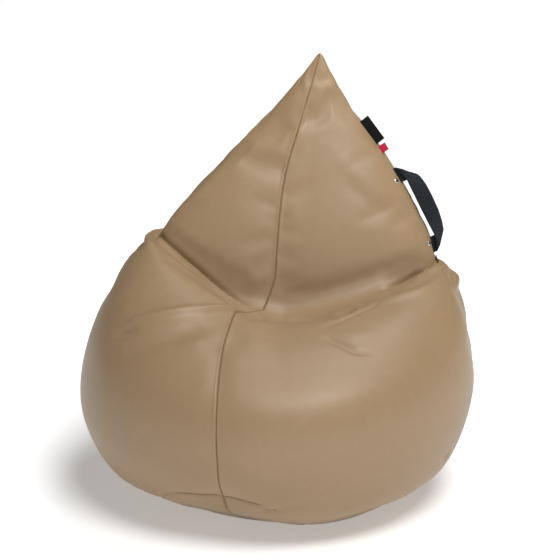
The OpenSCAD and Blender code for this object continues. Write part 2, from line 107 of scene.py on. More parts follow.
def bag(v, phi):
    """The CAD surface at ring height v, 0 to LAST, and at TOP the tip."""
    v, phi = np.broadcast_arrays(np.asarray(v, float), np.asarray(phi, float))
    low = np.clip(v, 0, LAST)
    k = np.minimum(low.astype(int), LAST - 1)
    rings = np.stack([ring_point(i, phi) for i in range(LAST + 1)])
    rings = np.concatenate([[2 * rings[0] - rings[1]], rings, [2 * rings[-1] - rings[-2]]])
    index = np.indices(v.shape)
    a, b, c, d = (rings[(k + i, *index)] for i in range(4))
    t = (low - k)[..., None]
    p = 0.5 * (2 * b + (c - a) * t + (2 * a - 5 * b + 4 * c - d) * t ** 2 + (3 * b - a - 3 * c + d) * t ** 3)
    over = np.clip(v - LAST, 0, 1)[..., None]
    crown = p + (TIP - p) * over
    crown[..., 2] = p[..., 2] + (TIP[2] - p[..., 2]) * np.sin(over[..., 0] * math.pi / 2)
    return np.where(over > 0, crown, p)


def unit(a):
    return a / np.maximum(np.linalg.norm(a, axis=-1, keepdims=True), 1e-9)


def window(x, rise, fall):
    """1 between rise and fall, with smooth edges: rise and fall are (start, end)."""
    up, down = (np.clip((x - a) / (b - a), 0, 1) for a, b in (rise, fall))
    return up * up * (3 - 2 * up) * (1 - down * down * (3 - 2 * down))


EASE_STEPS = np.linspace(-1.05, 1.05, 9)


def shape(v, phi):
    """The CAD surface with the bottom of the seat eased into a smooth bowl."""
    v, phi = np.broadcast_arrays(np.asarray(v, float), np.asarray(phi, float))
    points = bag(v, phi)
    turn = (phi + 180) % 360 - 180
    share = window(turn, (-20, -9), (38, 52)) * window(v, (4.5, 5.4), (6.8, 7.7))
    soft = share > 0
    if soft.any():
        at, angle = v[soft], phi[soft]
        weights = np.exp(-(EASE_STEPS / 0.55) ** 2)
        eased = sum(w * bag(at + step, angle) for w, step in zip(weights, EASE_STEPS)) / weights.sum()
        points[soft] += share[soft][:, None] * (eased - points[soft])
    return points


def outward(v, phi, surface=shape, dv=0.04, dphi=0.7):
    """Unit normals of a surface given by v and phi."""
    low, high = np.clip(v - dv, 0, TOP - 0.05), np.clip(v + dv, 0.05, TOP)
    round_bag = surface(v, phi + dphi) - surface(v, phi - dphi)
    return unit(np.cross(round_bag, surface(high, phi) - surface(low, phi)))


def seam(name, v):
    return np.interp(v, range(LAST + 1), SEAMS[name])


def rim_height(phi):
    """How high on the bag the base seam runs: it rises over the lifted front corner."""
    return RIM_UP * window((phi + 180) % 360 - 180, RIM_LEFT, RIM_RIGHT)


# ------------------------------------------------------------------ folds and dents of the cover
# Each fold: its kind, its points as (ring height, angle), its width and depth in mm. A "pinch" also
# draws the cover in toward its line; a "ridge" stands up; a "groove" sinks; a "dent" sinks softly.
FOLDS = [
    # the left arm's top slopes up to the crease between it and the backrest, with a light roll
    ("ridge", [(5.75, -88), (5.74, -74), (5.72, -58), (5.7, -38), (5.75, -22), (5.85, -10)], 27, 11),
    ("pinch", [(6.1, -97), (6.25, -82), (6.3, -60), (6.27, -44), (6.17, -31), (6.02, -19), (5.95, -12)],
     8, 10),
    ("ridge", [(6.02, -44), (5.85, -34), (5.75, -25), (5.8, -17)], 8, 3.5),
    # the bottom of the seat is a smooth bowl, with a soft hollow right of the middle
    ("dent", [(5.55, 2), (5.35, 10), (5.15, 18), (5.1, 28)], 27, 20),
    # the crease to the right arm, and the arm's top that rolls up to it
    ("ridge", [(5.6, 40), (5.65, 52), (5.6, 64), (5.45, 76)], 24, 8),
    ("pinch", [(5.92, 41), (6.02, 50), (6.08, 60), (5.9, 72), (5.7, 80)], 7, 13),
    ("groove", [(5.75, 72), (5.6, 82), (5.35, 94)], 8, 5),
    ("ridge", [(4.9, 34), (4.82, 40), (4.76, 48), (4.62, 60), (4.66, 76), (4.8, 96)], 15, 6),
    ("ridge", [(4.14, 80), (4.08, 91), (4.1, 103)], 13, 12),
    # the left arm's lip, the shade below it and the dimple it starts from
    ("ridge", [(3.7, -57), (3.9, -51), (4.25, -40), (4.6, -29), (4.95, -21), (5.3, -16)], 11, 10.5),
    ("dent", [(3.3, -54), (3.6, -44), (3.95, -34), (4.3, -26)], 24, 9),
    ("groove", [(3.5, -60), (3.62, -55), (3.72, -50)], 10, 6.5),
    # two short creases at the front of the hollow
    ("groove", [(4.5, 16), (4.65, 21), (4.78, 28), (4.86, 36)], 7, 6.5),
    ("groove", [(4.25, 14), (4.05, 18), (3.8, 23), (3.68, 29)], 7, 6.5),
    ("ridge", [(4.35, 19), (4.15, 24), (4.05, 31)], 16, 2.5),
    # the ear of the left arm and the notch below it
    ("ridge", [(5.24, -108), (5.12, -98), (5.2, -88)], 7, 3),
    ("groove", [(4.86, -110), (4.79, -95), (4.84, -82)], 13, 17),
    # long soft folds on the backrest
    ("ridge", [(8.0, 60), (8.6, 48), (9.3, 30)], 20, 3),
    ("groove", [(7.7, 55), (8.2, 42), (8.8, 26)], 18, 3),
    # the lower right of the belly is drawn in, with a dimple, and a short crease under the seat
    ("dent", [(0.6, 18), (0.6, 42), (0.7, 72)], 40, 11),
    ("dent", [(0.75, -78), (0.7, -58), (0.6, -42)], 34, 9),
    ("groove", [(1.4, 60), (1.42, 64)], 9, 6),
    ("groove", [(1.12, -5), (1.18, 0), (1.34, 7)], 7, 4),
]


def fold_shift(points, normals):
    """How far each point of the CAD surface moves for the folds."""
    shift = np.zeros_like(points)
    for kind, line, width, depth in FOLDS:
        line = np.array(line, float)
        steps = np.linspace(0, len(line) - 1, 12 * (len(line) - 1) + 1)
        v, phi = (np.interp(steps, range(len(line)), line[:, i]) for i in (0, 1))
        path = shape(v, phi)
        reach = 2.6 * width * MM
        near = np.all((points > path.min(0) - reach) & (points < path.max(0) + reach), -1)
        if not near.any():
            continue
        p = points[near]
        start, run = path[:-1], path[1:] - path[:-1]
        along = np.clip(((p[:, None] - start) * run).sum(-1) / (run ** 2).sum(-1), 0, 1)
        foot = start + along[..., None] * run
        gap = np.linalg.norm(p[:, None] - foot, axis=-1)
        best = gap.argmin(1)
        rows = np.arange(len(p))
        foot, gap = foot[rows, best], gap[rows, best]
        part = (best + along[rows, best]) / len(run)
        taper = np.sin(np.pi * np.clip(part, 0.02, 0.98)) ** 0.5
        fall = np.exp(-(gap / (width * MM)) ** 2)
        sign = 1 if kind == "ridge" else -1
        move = (sign * depth * MM * taper * fall)[:, None] * normals[near]
        if kind == "pinch":
            move += (0.45 * taper * fall)[:, None] * (foot - p)
        shift[near] += move
    return shift


def seam_shift(v, phi, points):
    """The sunk line of each seam, with the sewn allowance as a slim band on its left."""
    depth = np.zeros(points.shape[:-1])
    for name in SEAMS:
        at = seam(name, v)
        turn = (phi - at + 180) % 360 - 180
        near = abs(turn) < 14
        gap = np.full(turn.shape, 1.0)
        gap[near] = np.linalg.norm(points[near] - shape(v[near], at[near]), axis=-1)
        band = np.where(turn < 0, 1.0, 0.3) * np.exp(-((gap - 4.2 * MM) / (2.2 * MM)) ** 2)
        depth += 0.8 * MM * band - 2.4 * MM * np.exp(-(gap / (1.6 * MM)) ** 2)
    return depth


RING_STEP = 62 * MM                  # how far apart the lowest rings are, up the cover


def rim_shift(v, phi):
    """The sunk line of the base seam."""
    gap = abs(v - rim_height(phi)) * RING_STEP
    return -RIM_SUNK * np.exp(-(gap / RIM_WIDE) ** 2)


# The cloth simulation's grid: its heights, its columns to each gore, and the shift it found
SETTLE_V = np.linspace(0, TOP - 0.3, 104)
SETTLE_COLS = 38
SETTLED = None
ROUND = (("left", 0), ("front", 0), ("right", 0), ("back", 0), ("left", 360))


def settled_shift(v, phi):
    """The simulated shift at each point, by cubic interpolation between the grid's points."""
    phi = np.where(phi < seam("left", v), phi + 360, phi)
    phi = np.where(phi >= seam("left", v) + 360, phi - 360, phi)
    edges = [seam(name, v) + wrap for name, wrap in ROUND]
    col = sum(np.clip((phi - a) / (b - a), 0, 1) for a, b in zip(edges[:-1], edges[1:])) * SETTLE_COLS
    row = np.clip(v / SETTLE_V[1], 0, len(SETTLE_V) - 1.001)
    i, j = np.floor(row).astype(int), np.floor(col).astype(int)

    def weights(t):
        return (0.5 * (-t + 2 * t ** 2 - t ** 3), 0.5 * (2 - 5 * t ** 2 + 3 * t ** 3),
                0.5 * (t + 4 * t ** 2 - 3 * t ** 3), 0.5 * (-t ** 2 + t ** 3))

    total = 4 * SETTLE_COLS
    return sum(wr * wc * SETTLED[np.clip(i + a - 1, 0, len(SETTLE_V) - 1), (j + b - 1) % total]
               for a, wr in enumerate(weights(row - i)) for b, wc in enumerate(weights(col - j)))


def cover(v, phi):
    """The cover's outer surface as it is seen."""
    size = np.broadcast(v, phi).shape
    v, phi = (np.ascontiguousarray(np.broadcast_to(a, size)).reshape(-1) for a in (v, phi))
    points, normals = shape(v, phi), outward(v, phi)
    shift = fold_shift(points, normals)
    depth = seam_shift(v, phi, points) + rim_shift(v, phi)
    if SETTLED is not None:
        depth = depth + settled_shift(v, phi)
    return (points + shift + depth[:, None] * normals).reshape(*size, 3)


# ------------------------------------------------------------------ mesh helpers
def add_mesh(name, points, faces, material, smooth=True):
    mesh = bpy.data.meshes.new(name)
    mesh.from_pydata(np.asarray(points, float).tolist(), [], [list(map(int, f)) for f in faces])
    mesh.polygons.foreach_set("use_smooth", [smooth] * len(mesh.polygons))
    mesh.materials.append(material)
    mesh.update()
    piece = bpy.data.objects.new(name, mesh)
    bpy.context.scene.collection.objects.link(piece)
    return piece


def grid_faces(rows, cols, start=0, flip=False, closed=False):
    i, j = np.meshgrid(np.arange(rows - 1), np.arange(cols if closed else cols - 1), indexing="ij")
    a, b = start + i * cols + j, start + i * cols + (j + 1) % cols
    quads = np.stack([a, a + cols, b + cols, b], -1).reshape(-1, 4)
    return quads[:, ::-1] if flip else quads


def shell_faces(rows, cols):
    """Faces of a closed shell between an outer grid and an inner grid that follows it."""
    count = rows * cols
    faces = [grid_faces(rows, cols), grid_faces(rows, cols, count, flip=True)]
    edges = [(i * cols, (i + 1) * cols) for i in range(rows - 1)]
    edges += [((i + 1) * cols - 1 + cols, (i + 1) * cols - 1) for i in range(rows - 1)]
    edges += [(j + 1, j) for j in range(cols - 1)]
    edges += [(count - cols + j, count - cols + j + 1) for j in range(cols - 1)]
    faces.append(np.array([(b, a, a + count, b + count) for a, b in edges]))
    return np.concatenate(faces)


def grid_normals(grid):
    du = np.gradient(grid, axis=1)
    dv = np.gradient(grid, axis=0)
    return unit(np.cross(du, dv))


def shell_piece(name, grid, thickness, material):
    """A thin closed shell whose outer face is a grid of points."""
    rows, cols = grid.shape[:2]
    inner = grid - thickness * grid_normals(grid)
    inner[..., 2] = np.maximum(inner[..., 2], 0)
    points = np.concatenate([grid.reshape(-1, 3), inner.reshape(-1, 3)])
    return add_mesh(name, points, shell_faces(rows, cols), material)


# ------------------------------------------------------------------ how the leatherette lies
CREASE_V = 6.1
HELD_AT = ((8.45, 1.0), (6.67, 1.0), (9.4, 0.8), (8.99, 0.6))   # heights on the right seam


def held_still(v, phi):
    """0 where the cover is held: at its rim, tip and creases, and by the handle and the tags."""
    turn = (phi + 180) % 360 - 180
    front = window(turn, (-125, -105), (100, 120))
    free = 1 - front * window(v, (CREASE_V - 0.75, CREASE_V - 0.3), (CREASE_V + 0.3, CREASE_V + 0.75))
    free = free * window(v, (0.1, 0.9), (11.0, 11.8))
    for at, share in HELD_AT:
        angle = (turn - seam("right", at)) / 16
        free = free * (1 - share * np.exp(-(angle ** 2 + ((v - at) / 0.55) ** 2) ** 2))
    return free


def blurred(field, reach):
    """A field averaged over so many grid steps; it is closed round the bag and open up it."""
    steps = np.arange(-2 * reach, 2 * reach + 1)
    weights = np.exp(-(steps / reach) ** 2)
    weights /= weights.sum()
    field = sum(w * np.roll(field, n, 1) for w, n in zip(weights, steps))
    rows = np.arange(len(field))
    return sum(w * field[np.clip(rows + n, 0, len(field) - 1)] for w, n in zip(weights, steps))


def settle():
    """Cloth simulation of the cover: the beads press it out, its seams are drawn in, and it ripples.

    The long swell is mostly taken out again, because the shape above has it already.
    """
    v = SETTLE_V[:, None]
    edges = [seam(name, SETTLE_V) + wrap for name, wrap in ROUND]
    parts = [a[:, None] + (b - a)[:, None] * np.arange(SETTLE_COLS) / SETTLE_COLS
             for a, b in zip(edges[:-1], edges[1:])]
    phi = np.concatenate(parts, 1)
    grid = cover(v, phi)
    rows, cols = phi.shape
    faces = grid_faces(rows, cols, closed=True)[:, ::-1]
    piece = add_mesh("settling_cover", grid.reshape(-1, 3), faces, bpy.data.materials.new("settling"))
    free = held_still(v + 0 * phi, phi)
    pins, seams = piece.vertex_groups.new(name="pins"), piece.vertex_groups.new(name="seams")
    for i, weight in enumerate((1 - free).reshape(-1)):
        if weight > 0.02:
            pins.add([i], float(weight), "REPLACE")
    pins.add([*range(cols), *range((rows - 1) * cols, rows * cols)], 1.0, "REPLACE")
    drawn = [i * cols + g * SETTLE_COLS for i in range(rows) for g in range(4)]
    seams.add(drawn, 1.0, "REPLACE")
    cloth = piece.modifiers.new("cloth", "CLOTH")
    how = cloth.settings
    how.quality, how.mass = 6, 0.4
    how.tension_stiffness = how.compression_stiffness = 35
    how.shear_stiffness, how.bending_stiffness = 15, 3.0
    how.use_pressure, how.uniform_pressure_force = True, 4.0
    how.effector_weights.gravity = 0
    how.vertex_group_mass, how.pin_stiffness = "pins", 4.0
    how.vertex_group_shrink, how.shrink_min, how.shrink_max = "seams", -0.014, 0.03
    cloth.collision_settings.use_collision = False
    scene = bpy.context.scene
    for step in range(1, 21):
        scene.frame_set(step)
    done = piece.evaluated_get(bpy.context.evaluated_depsgraph_get()).data
    points = np.empty(3 * len(done.vertices))
    done.vertices.foreach_get("co", points)
    scene.frame_set(1)
    bpy.data.objects.remove(piece)
    normals = outward(v + 0 * phi, phi)
    shift = ((points.reshape(grid.shape) - grid) * normals).sum(-1)
    shift = np.nan_to_num(np.clip(shift, -30 * MM, 40 * MM))
    shift = blurred(shift, 1) - 0.8 * blurred(shift, 7)
    cap = 4.5 * MM
    return cap * np.tanh(shift / cap) * free


SETTLED = settle()


# ------------------------------------------------------------------ materials
def new_material(name):
    material = bpy.data.materials.new(name)
    material.use_nodes = True
    tree = material.node_tree
    shader = tree.nodes["Principled BSDF"]
    return material, tree, shader


def add_node(tree, kind, inputs=(), **settings):
    node = tree.nodes.new(kind)
    for key, value in settings.items():
        setattr(node, key, value)
    for key, value in dict(inputs).items():
        if isinstance(value, bpy.types.NodeSocket):
            tree.links.new(value, node.inputs[key])
        else:
            node.inputs[key].default_value = value
    return node


def ramp(tree, factor, low, high, start=0.3, end=0.7):
    node = add_node(tree, "ShaderNodeValToRGB", {"Fac": factor})
    node.color_ramp.elements[0].position = start
    node.color_ramp.elements[1].position = end
    node.color_ramp.elements[0].color = (*low, 1)
    node.color_ramp.elements[1].color = (*high, 1)
    return node.outputs["Color"]


def spread(tree, factor, low, high):
    node = add_node(tree, "ShaderNodeMapRange", {"Value": factor, "To Min": low, "To Max": high})
    return node.outputs["Result"]


def place(tree):
    return tree.nodes.new("ShaderNodeTexCoord").outputs["Object"]


def noise(tree, where, scale, detail=2.0, roughness=0.5):
    node = add_node(tree, "ShaderNodeTexNoise", {"Vector": where, "Scale": scale, "Detail": detail,
                                                 "Roughness": roughness})
    return node.outputs["Fac"]


def bump(tree, height, distance, strength=1.0, normal=None):
    inputs = {"Height": height, "Distance": distance, "Strength": strength}
    if normal is not None:
        inputs["Normal"] = normal
    return add_node(tree, "ShaderNodeBump", inputs).outputs["Normal"]


def leatherette():
    material, tree, shader = new_material("leatherette")
    where = place(tree)
    broad, fine = noise(tree, where, 5, 3), noise(tree, where, 60, 4, 0.6)
    both = add_node(tree, "ShaderNodeMath", {0: broad, 1: fine}, operation="ADD").outputs[0]
    half = add_node(tree, "ShaderNodeMath", {0: both, 1: 0.5}, operation="MULTIPLY").outputs[0]
    colour = ramp(tree, half, (0.284, 0.190, 0.104), (0.318, 0.213, 0.119))
    tree.links.new(colour, shader.inputs["Base Color"])
    tree.links.new(spread(tree, broad, 0.42, 0.50), shader.inputs["Roughness"])
    cells = add_node(tree, "ShaderNodeTexVoronoi", {"Vector": where, "Scale": 620.0}, feature="SMOOTH_F1")
    relief = bump(tree, noise(tree, where, 26, 3), 0.8 * MM, 0.5)
    grain = bump(tree, cells.outputs["Distance"], 0.12 * MM, 0.6, relief)
    tree.links.new(grain, shader.inputs["Normal"])
    shader.inputs["Specular IOR Level"].default_value = 0.38
    return material


def woven(name, low, high, rough=0.8, thread=1.2, depth=0.25, sheen=0.0):
    """Cloth whose threads, so many mm apart, cross along the piece and across it; its colour is darker where
    the weave sinks, which is painted shade.
    """
    material, tree, shader = new_material(name)
    where = tree.nodes.new("ShaderNodeTexCoord").outputs["UV"]
    threads = {"Vector": where, "Scale": math.pi / 10 / (thread * MM), "Distortion": 0.4, "Detail": 1.0}
    warp = add_node(tree, "ShaderNodeTexWave", threads, bands_direction="X")
    weft = add_node(tree, "ShaderNodeTexWave", threads, bands_direction="Y")
    cross = add_node(tree, "ShaderNodeMath", {0: warp.outputs["Fac"], 1: weft.outputs["Fac"]},
                     operation="MULTIPLY").outputs[0]
    spots = noise(tree, place(tree), 90, 4, 0.6)
    weave_shade_and_spots = add_node(tree, "ShaderNodeMath", {0: cross, 1: spots}, operation="ADD").outputs[0]
    # Painted shade and random tone: the colour is darker where the weave sinks between its crossings, and
    # varies at random with the spots.
    tree.links.new(ramp(tree, weave_shade_and_spots, low, high, 0.35, 1.0), shader.inputs["Base Color"])
    tree.links.new(bump(tree, cross, depth * MM, 0.9), shader.inputs["Normal"])
    tree.links.new(spread(tree, spots, rough - 0.08, rough + 0.08), shader.inputs["Roughness"])
    shader.inputs["Sheen Weight"].default_value = sheen
    shader.inputs["Specular IOR Level"].default_value = 0.25
    return material


def metal(name, colour, rough):
    material, tree, shader = new_material(name)
    where = place(tree)
    marks = noise(tree, where, 900, 3, 0.6)
    worn = noise(tree, where, 120, 3)
    tree.links.new(ramp(tree, worn, tuple(0.85 * c for c in colour), colour), shader.inputs["Base Color"])
    tree.links.new(spread(tree, marks, rough - 0.05, rough + 0.12), shader.inputs["Roughness"])
    tree.links.new(bump(tree, marks, 0.02 * MM, 0.5), shader.inputs["Normal"])
    shader.inputs["Metallic"].default_value = 1.0
    return material


def grain_shaded_in_hollows(name, low, high, rough, scale, depth):
    """Plain stuff with a raised grain of its own, and painted shade in the hollows of that grain: liner
    cloth, beads, nylon, label satin.
    """
    material, tree, shader = new_material(name)
    where = place(tree)
    cells = add_node(tree, "ShaderNodeTexVoronoi", {"Vector": where, "Scale": scale})
    # Painted shade: each cell's colour darkens from its raised middle to its sunk edge, where the bump makes
    # a hollow.
    tree.links.new(ramp(tree, cells.outputs["Distance"], high, low, 0.0, 0.7), shader.inputs["Base Color"])
    tree.links.new(bump(tree, cells.outputs["Distance"], -depth * MM, 0.8), shader.inputs["Normal"])
    roughness = spread(tree, noise(tree, where, 80, 3), rough - 0.06, rough + 0.06)
    tree.links.new(roughness, shader.inputs["Roughness"])
    return material


LEATHERETTE = leatherette()
WEBBING = woven("webbing", (0.004, 0.006, 0.008), (0.014, 0.018, 0.023), 0.75, depth=0.3, sheen=0.08)
BLACK_TAG = woven("black_tag", (0.002, 0.002, 0.002), (0.007, 0.007, 0.008), 0.75, depth=0.12)
RED_TAG = woven("red_tag", (0.52, 0.012, 0.05), (0.70, 0.03, 0.09), 0.65, depth=0.12)
RIVET_METAL = metal("rivet_metal", (0.80, 0.79, 0.77), 0.22)
ZIP_METAL = metal("zip_metal", (0.62, 0.61, 0.60), 0.35)
ZIP_TAPE = grain_shaded_in_hollows("zip_tape", (0.13, 0.085, 0.052), (0.18, 0.12, 0.075), 0.85, 900.0, 0.15)
ZIP_COIL = grain_shaded_in_hollows("zip_coil", (0.08, 0.055, 0.035), (0.11, 0.077, 0.05), 0.45, 700.0, 0.02)
LINER_CLOTH = grain_shaded_in_hollows("liner_cloth", (0.70, 0.68, 0.62), (0.82, 0.80, 0.75), 0.9, 500.0, 0.15)
LINER_TAPE = grain_shaded_in_hollows("liner_tape", (0.72, 0.70, 0.66), (0.80, 0.78, 0.74), 0.85, 900.0, 0.15)
LINER_COIL = grain_shaded_in_hollows("liner_coil", (0.70, 0.69, 0.67), (0.78, 0.77, 0.75), 0.45, 700.0, 0.02)
BEADS = grain_shaded_in_hollows("foam_beads", (0.70, 0.70, 0.69), (0.90, 0.90, 0.89), 0.6, 210.0, 1.2)
WHITE_LABEL = grain_shaded_in_hollows("white_label", (0.74, 0.74, 0.72), (0.84, 0.84, 0.82), 0.5, 1100.0, 0.05)


# ------------------------------------------------------------------ the four gores
ROWS_PER_RING = (14, 18, 16, 22, 26, 30, 26, 22, 22, 20, 14, 8, 5)
NEAR_SEAM = MM * np.array([0, 0.8, 1.7, 2.8, 4.2, 6, 8.2, 11, 15])
MIDDLE = 96


RIM_FADE = 3.0                       # the rows are even again above this height
RIM_ROWS = (0.02, 0.04, 0.07, 0.11)  # close rows beside the base seam


def row_heights():
    parts = [k + np.arange(n) / n for k, n in enumerate(ROWS_PER_RING)]
    return np.sort(np.concatenate([*parts, RIM_ROWS, [TOP - 0.02]]))


def gore_angles(v, start, end, wrap):
    """The angle of each column: close together beside both seams, and even between."""
    a, b = seam(start, v), seam(end, v) + wrap
    width = np.zeros_like(v)
    steps = np.linspace(0, 1, 25)
    line = bag(v[:, None], a[:, None] + (b - a)[:, None] * steps)
    lengths = np.linalg.norm(np.diff(line, axis=1), axis=-1)
    travelled = np.concatenate([np.zeros((len(v), 1)), np.cumsum(lengths, 1)], 1)
    out = []
    for i in range(len(v)):
        width = travelled[i, -1]
        near = NEAR_SEAM * min(1, width / (5 * NEAR_SEAM[-1]))
        middle = np.linspace(near[-1], width - near[-1], MIDDLE + 1)[1:-1]
        at = np.concatenate([near, middle, width - near[::-1]])
        out.append(a[i] + (b[i] - a[i]) * np.interp(at, travelled[i], steps))
    return np.array(out)


GORES = {"panel_front_left": ("left", "front", 0), "panel_front_right": ("front", "right", 0),
         "panel_back_right": ("right", "back", 0), "panel_back_left": ("back", "left", 360)}


def make_gores():
    v = row_heights()
    for node, (start, end, wrap) in GORES.items():
        phi = gore_angles(v, start, end, wrap)
        share = (phi - phi[:, :1]) / (phi[:, -1:] - phi[:, :1])
        raised = v[:, None] + rim_height(phi) * np.clip(1 - v[:, None] / RIM_FADE, 0, 1)
        from_seam, to_seam = seam(start, raised), seam(end, raised) + wrap
        grid = cover(raised, from_seam + share * (to_seam - from_seam))
        piece = shell_piece("cover_" + node[6:], grid, SKIN, LEATHERETTE)
        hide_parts(node)
        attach(piece, "root")


make_gores()


# ------------------------------------------------------------------ the base and its zip
ZIP_ACROSS = np.array([math.cos(ZIP_TURN), -math.sin(ZIP_TURN), 0])
ZIP_ALONG = np.array([math.sin(ZIP_TURN), math.cos(ZIP_TURN), 0])
SLOT_HALF, SLOT_LONG, SLOT_END = 6.5 * MM, 212 * MM, 12 * MM
HEM_UP = 4.6 * MM
UP = np.array([0, 0, 1.0])


def rest_edge(phi):
    """The edge of the flat that rests on the floor."""
    s, c = np.sin(np.radians(phi)), np.cos(np.radians(phi))
    x = np.where(s < 0, REST[1], REST[2]) * abs(s)
    y = np.where(c > 0, REST[0], REST[3]) * abs(c)
    turn = (phi - DRAWN_PHI + 180) % 360 - 180
    drawn_back = 1 - DRAWN_BACK * np.exp(-(turn / DRAWN_SPREAD) ** 2)
    return np.stack([x * drawn_back, y * drawn_back, 0 * x], -1)


BAND_STEPS = (0, 0.02, 0.04, 0.07, 0.11, 0.2, 0.35, 0.5, 0.65, 0.8, 0.92)


def base_band(phi, ends):
    """The base's rows on the lifted corner: down the cover's surface from its seam to the rim."""
    part = (phi - phi[0]) / (phi[-1] - phi[0])
    rows = []
    for down in BAND_STEPS:
        height = rim_height(phi) * (1 - down)
        start = phi[0] + seam(ends[0], height) - seam(ends[0], 0)
        end = phi[-1] + seam(ends[1], height) - seam(ends[1], 0)
        rows.append(cover(height, start + part * (end - start)))
    return rows


def base_grid(phi, side, ends):
    """One half of the base: from its seam to the flat, over it to the zip, and up beside the zip."""
    rim, edge = cover(np.zeros_like(phi), phi), rest_edge(phi)
    along = edge @ ZIP_ALONG
    open_share = np.clip((SLOT_LONG - abs(along)) / SLOT_END, 0, 1)
    line = along[:, None] * ZIP_ALONG + (side * SLOT_HALF * open_share)[:, None] * ZIP_ACROSS
    rows = []
    for share in np.linspace(0, 1, 13):
        fall = share ** 1.5
        row = rim + (edge - rim) * share
        row[:, 2] = rim[:, 2] * (1 - share) ** 0.8 * (1 - 0.25 * fall)
        rows.append(row)
    rows[1] = rim + (rows[1] - rim) * 0.3
    for share in np.linspace(0, 1, 27)[1:]:
        row = edge + (line - edge) * share
        apart = abs(row @ ZIP_ACROSS)
        pull = np.sin(along * 260) * np.exp(-((apart - 14 * MM) / (10 * MM)) ** 2) * open_share
        row[:, 2] = 0.35 * MM * (1 + pull)
        rows.append(row)
    for up, out in ((0.3, 0.10), (0.7, 0.05), (1, -0.3)):
        row = line + (side * out * SLOT_HALF * open_share)[:, None] * ZIP_ACROSS * 0.3
        row[:, 2] = 0.35 * MM + HEM_UP * up * open_share
        rows.append(row)
    grid = np.array(base_band(phi, ends) + rows)
    grid[..., 2] = np.maximum(grid[..., 2], 0)          # none of it below the floor
    return grid


def make_base():
    halves = {"base_panel_right": ("front", "back", 0, 1),
              "base_panel_left": ("back", "front", 360, -1)}
    for node, (start, end, wrap, side) in halves.items():
        a, b = SEAMS[start][0], SEAMS[end][0] + wrap
        phi = np.linspace(a, b, 161)
        grid = base_grid(phi, side, (start, end))[:, ::-1]
        piece = shell_piece("cover_" + node, grid, SKIN, LEATHERETTE)
        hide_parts(node)
        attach(piece, "root")


make_base()


def tube(path, radius, sides=6, closed_ends=True):
    """Points and faces of a tube along a path of points."""
    path = np.asarray(path, float)
    run = unit(np.gradient(path, axis=0))
    side = unit(np.cross(run, np.where(abs(run[:, 2:]) > 0.9, [1.0, 0, 0], UP)))
    over = np.cross(side, run)
    turn = np.linspace(0, 2 * math.pi, sides, endpoint=False)
    ring = np.cos(turn)[None, :, None] * side[:, None] + np.sin(turn)[None, :, None] * over[:, None]
    points = (path[:, None] + radius * ring).reshape(-1, 3)
    faces = grid_faces(len(path), sides, closed=True, flip=True).tolist()
    if closed_ends:
        last = (len(path) - 1) * sides
        faces += [list(range(sides)), [last + k for k in reversed(range(sides))]]
    return points, faces


def joined(parts):
    """Several meshes, each points and faces, as one."""
    points, faces, count = [], [], 0
    for part_points, part_faces in parts:
        points.append(part_points)
        faces += [[count + i for i in face] for face in part_faces]
        count += len(part_points)
    return np.concatenate(points), faces


COIL_PITCH, COIL_WIRE = 1.7 * MM, 0.36 * MM


def make_coil(node, material):
    """A zip's nylon coil: one long flattened helix where the CAD has a bar."""
    low, high = (np.array(c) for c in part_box(node))
    corners = np.array([v.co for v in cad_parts[node].data.vertices])
    across, along = corners @ ZIP_ACROSS, corners @ ZIP_ALONG
    middle, half = (across.max() + across.min()) / 2, (across.max() - across.min()) / 2 - COIL_WIRE
    z_middle, z_half = (low[2] + high[2]) / 2, (high[2] - low[2]) / 2 - COIL_WIRE
    length = along.max() - along.min()
    turns = int(length / COIL_PITCH)
    t = np.linspace(0, 1, turns * 10 + 1)
    angle = 2 * math.pi * turns * t
    path = ((middle + half * np.cos(angle))[:, None] * ZIP_ACROSS
            + (z_middle + z_half * np.sin(angle))[:, None] * UP
            + (along.min() + COIL_WIRE + (length - 2 * COIL_WIRE) * t)[:, None] * ZIP_ALONG)
    piece = add_mesh(node.replace("_zip_coil", "_coil"), *tube(path, COIL_WIRE, 5), material)
    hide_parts(node)
    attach(piece, "root")


for coil_side in ("left", "right"):
    make_coil("base_zip_coil_" + coil_side, ZIP_COIL)
    make_coil("liner_zip_coil_" + coil_side, LINER_COIL)


def stitches(starts, directions, normals, length, radius):
    """A row of short raised stitches, each a small spindle lying on a surface."""
    parts = []
    shape = np.array([0, 0.25, 0.5, 0.75, 1.0])
    for start, run, normal in zip(starts, directions, normals):
        path = start + length * (shape - 0.5)[:, None] * run
        path = path + radius * (4 * shape * (1 - shape) - 0.55)[:, None] * normal
        parts.append(tube(path, radius, 5))
    return joined(parts)


def make_base_stitching():
    """The topstitch that holds the cover's hems beside the zip."""
    pitch, length, radius = 4.2 * MM, 3.2 * MM, 0.32 * MM
    count = int(2 * (SLOT_LONG - SLOT_END) / pitch)
    along = (np.arange(count) - (count - 1) / 2) * pitch
    parts = []
    for side in (-1, 1):
        start = along[:, None] * ZIP_ALONG + side * (SLOT_HALF + 3.5 * MM) * ZIP_ACROSS + 0.36 * MM * UP
        run, out = np.tile(ZIP_ALONG, (count, 1)), np.tile(-UP, (count, 1))
        parts.append(stitches(start, run, out, length, radius))
    piece = add_mesh("base_zip_stitching", *joined(parts), ZIP_TAPE)
    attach(piece, "root")


make_base_stitching()


# ------------------------------------------------------------------ the handle, rivets and tags
HANDLE_UPPER, HANDLE_LOWER = 8.45, 6.67
WEB_HALF, WEB_THICK = 18 * MM, 1.6 * MM
RIVET_IN, RIVET_TO_MIDDLE = 14 * MM, 8 * MM
SIDE_TAG_AT, SIZE_TAG_AT = 9.4, 8.99


def on_right(v):
    return bag(v, seam("right", v))


